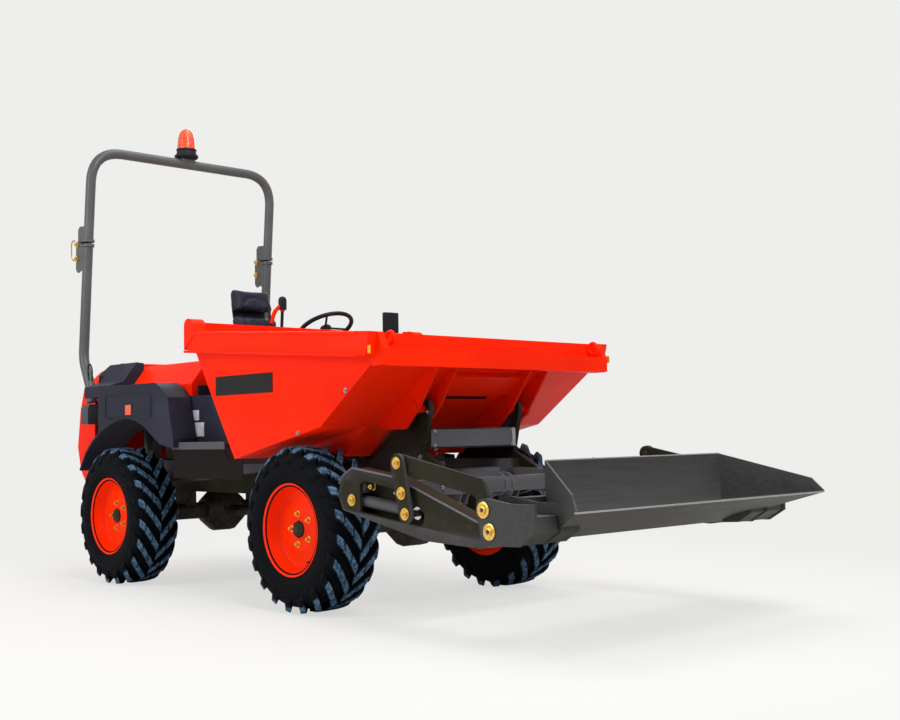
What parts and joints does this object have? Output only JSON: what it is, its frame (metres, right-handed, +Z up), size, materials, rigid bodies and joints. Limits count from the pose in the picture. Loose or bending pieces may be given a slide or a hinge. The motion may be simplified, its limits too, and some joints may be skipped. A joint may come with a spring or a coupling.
{
  "type": "site dumper with a self-loading shovel",
  "caption": "Rear-steered site dumper with a forward-tipping skip, a folding roll-over hoop and a self-loading front shovel on lifting arms.",
  "frame": {"origin": "on the ground under the middle of the machine", "axes": "+X forward (towards the shovel), +Y to the driver's left, +Z up"},
  "size_m": [4.213, 1.646, 2.7853],
  "materials": {
    "orange_paint": "gloss",
    "rim_orange": "gloss",
    "olive_paint": "satin",
    "frame_grey": "satin",
    "rollbar_grey": "satin",
    "shovel_grey": "satin, worn at the lip",
    "cast_grey": "rough",
    "chromed_rod": "polished",
    "black_plastic": "fine grain",
    "seat_vinyl": "grained",
    "tyre": "matt",
    "beacon_amber": "clear, ribbed"
  },
  "bodies": {
    "chassis": {"chassis_frame": "olive_paint", "front_axle": "cast_grey", "rear_axle": "cast_grey", "engine_block": "cast_grey", "driveline": "cast_grey", "hood": "orange_paint", "hood_front_panel": "black_plastic", "fender_left": "black_plastic", "fender_right": "black_plastic", "side_panel_left": "black_plastic", "side_panel_right": "black_plastic", "floor_plate": "olive_paint", "seat_base": "black_plastic", "seat_cushion": "seat_vinyl", "seat_back": "seat_vinyl", "steering_column": "black_plastic", "control_console": "black_plastic", "mirror": "black_plastic", "rops_leg_left": "rollbar_grey", "rops_leg_right": "rollbar_grey"},
    "wheel_front_left": {"tyre_front_left": "tyre", "rim_front_left": "rim_orange"},
    "wheel_front_right": {"tyre_front_right": "tyre", "rim_front_right": "rim_orange"},
    "wheel_rear_left": {"tyre_rear_left": "tyre", "rim_rear_left": "rim_orange"},
    "wheel_rear_right": {"tyre_rear_right": "tyre", "rim_rear_right": "rim_orange"},
    "knuckle_left_body": {"knuckle_left": "cast_grey"},
    "knuckle_right_body": {"knuckle_right": "cast_grey"},
    "steering_link": {"steering_rod": "chromed_rod"},
    "hand_wheel": {"steering_wheel": "black_plastic"},
    "cowl": {"rear_cowl": "orange_paint"},
    "roll_over_hoop": {"rops_arch": "rollbar_grey", "beacon_base": "black_plastic", "beacon_lens": "beacon_amber"},
    "skip_body": {"skip": "orange_paint"},
    "tip_barrel": {"tip_ram_barrel": "frame_grey"},
    "tip_rod": {"tip_ram_rod": "chromed_rod"},
    "loader_arms": {"arm_left": "olive_paint", "arm_right": "olive_paint", "arm_cross_beam": "olive_paint"},
    "lift_barrels": {"lift_ram_barrel_left": "frame_grey", "lift_ram_barrel_right": "frame_grey"},
    "lift_rods": {"lift_ram_rod_left": "chromed_rod", "lift_ram_rod_right": "chromed_rod"},
    "tilt_barrels": {"tilt_ram_barrel_left": "frame_grey", "tilt_ram_barrel_right": "frame_grey"},
    "tilt_rods": {"tilt_ram_rod_left": "chromed_rod", "tilt_ram_rod_right": "chromed_rod"},
    "bellcranks": {"bellcrank_left": "olive_paint", "bellcrank_right": "olive_paint"},
    "shovel_links": {"shovel_link_left": "olive_paint", "shovel_link_right": "olive_paint"},
    "shovel_body": {"shovel": "shovel_grey"}
  },
  "joints": [
    {"name": "wheel_front_left_spin", "type": "hinge", "parent": "chassis", "child": "wheel_front_left", "pos_m": [0.3125, 0.616, 0.38], "axis": [0, 1, 0], "continuous": true},
    {"name": "wheel_front_right_spin", "type": "hinge", "parent": "chassis", "child": "wheel_front_right", "pos_m": [0.3125, -0.616, 0.38], "axis": [0, 1, 0], "continuous": true},
    {"name": "steer_left", "type": "hinge", "parent": "chassis", "child": "knuckle_left_body", "pos_m": [-1.4295, 0.455, 0.38], "axis": [0, 0, 1], "range_deg": [-25, 25]},
    {"name": "steer_right", "type": "hinge", "parent": "chassis", "child": "knuckle_right_body", "pos_m": [-1.4295, -0.455, 0.38], "axis": [0, 0, 1], "range_deg": [-25.85, 25.85]},
    {"name": "steering_rod_shift", "type": "slide", "parent": "chassis", "child": "steering_link", "axis": [0, 1, 0], "range_m": [-0.06539, 0.06539]},
    {"name": "wheel_rear_left_spin", "type": "hinge", "parent": "knuckle_left_body", "child": "wheel_rear_left", "pos_m": [-1.4295, 0.616, 0.38], "axis": [0, 1, 0], "continuous": true},
    {"name": "wheel_rear_right_spin", "type": "hinge", "parent": "knuckle_right_body", "child": "wheel_rear_right", "pos_m": [-1.4295, -0.616, 0.38], "axis": [0, 1, 0], "continuous": true},
    {"name": "hand_wheel_turn", "type": "hinge", "parent": "chassis", "child": "hand_wheel", "pos_m": [-0.7225, 0.26, 1.43], "axis": [-0.4695, 0, 0.8829], "continuous": true},
    {"name": "skip_tip", "type": "hinge", "parent": "chassis", "child": "skip_body", "pos_m": [0.7485, 0, 0.92], "axis": [0, 1, 0], "range_deg": [0, 65]},
    {"name": "tip_barrel_swing", "type": "hinge", "parent": "chassis", "child": "tip_barrel", "pos_m": [0.7025, 0, 0.35], "axis": [0, 1, 0], "range_deg": [-0.1, 10.74]},
    {"name": "tip_rod_slide", "type": "slide", "parent": "tip_barrel", "child": "tip_rod", "axis": [-0.5078, 0, 0.8615], "range_m": [-0.0001, 0.35284]},
    {"name": "arms_lift", "type": "hinge", "parent": "chassis", "child": "loader_arms", "pos_m": [0.8725, 0, 0.592], "axis": [0, 1, 0], "range_deg": [-82, 28]},
    {"name": "lift_barrel_swing", "type": "hinge", "parent": "chassis", "child": "lift_barrels", "pos_m": [0.4225, 0, 0.49], "axis": [0, 1, 0], "range_deg": [-0.66, 1.74]},
    {"name": "lift_rod_slide", "type": "slide", "parent": "lift_barrels", "child": "lift_rods", "axis": [0.9999, 0, -0.0101], "range_m": [-0.0529, 0.15473]},
    {"name": "shovel_tilt", "type": "hinge", "parent": "loader_arms", "child": "shovel_body", "pos_m": [1.6855, 0, 0.44], "axis": [0, -1, 0], "range_deg": [-30, 38]},
    {"name": "bellcrank_swing", "type": "hinge", "parent": "loader_arms", "child": "bellcranks", "pos_m": [1.1905, 0, 0.57], "axis": [0, 1, 0], "range_deg": [-21.74, 17.19]},
    {"name": "link_swing", "type": "hinge", "parent": "bellcranks", "child": "shovel_links", "pos_m": [1.1625, 0, 0.69], "axis": [0, 1, 0], "range_deg": [-18.36, 23.23]},
    {"name": "tilt_barrel_swing", "type": "hinge", "parent": "loader_arms", "child": "tilt_barrels", "pos_m": [0.8285, 0, 0.532], "axis": [0, 1, 0], "range_deg": [-1.63, 1.3]},
    {"name": "tilt_rod_slide", "type": "slide", "parent": "tilt_barrels", "child": "tilt_rods", "axis": [0.9934, 0, -0.1144], "range_m": [-0.02354, 0.02979]},
    {"name": "hoop_fold", "type": "hinge", "parent": "chassis", "child": "roll_over_hoop", "pos_m": [-1.9595, 0, 1.99], "axis": [0, -1, 0], "range_deg": [0, 160]},
    {"name": "cowl_open", "type": "hinge", "parent": "chassis", "child": "cowl", "pos_m": [-1.9375, 0, 0.52], "axis": [0, -1, 0], "range_deg": [0, 65]}
  ],
  "couplings": [
    {"joint": "steer_right", "follows": "steer_left", "ratio": 1},
    {"joint": "steering_rod_shift", "follows": "steer_left", "m_per_rad": -0.14528},
    {"joint": "tip_barrel_swing", "follows": "skip_tip", "ratio": 0.15887},
    {"joint": "tip_rod_slide", "follows": "skip_tip", "m_per_rad": 0.30187},
    {"joint": "lift_barrel_swing", "follows": "arms_lift", "ratio": -0.019363},
    {"joint": "lift_rod_slide", "follows": "arms_lift", "m_per_rad": -0.1049},
    {"joint": "bellcrank_swing", "follows": "shovel_tilt", "ratio": -0.55296},
    {"joint": "link_swing", "follows": "shovel_tilt", "ratio": 0.59102},
    {"joint": "tilt_barrel_swing", "follows": "shovel_tilt", "ratio": -0.039006},
    {"joint": "tilt_rod_slide", "follows": "shovel_tilt", "m_per_rad": 0.043464}
  ]
}
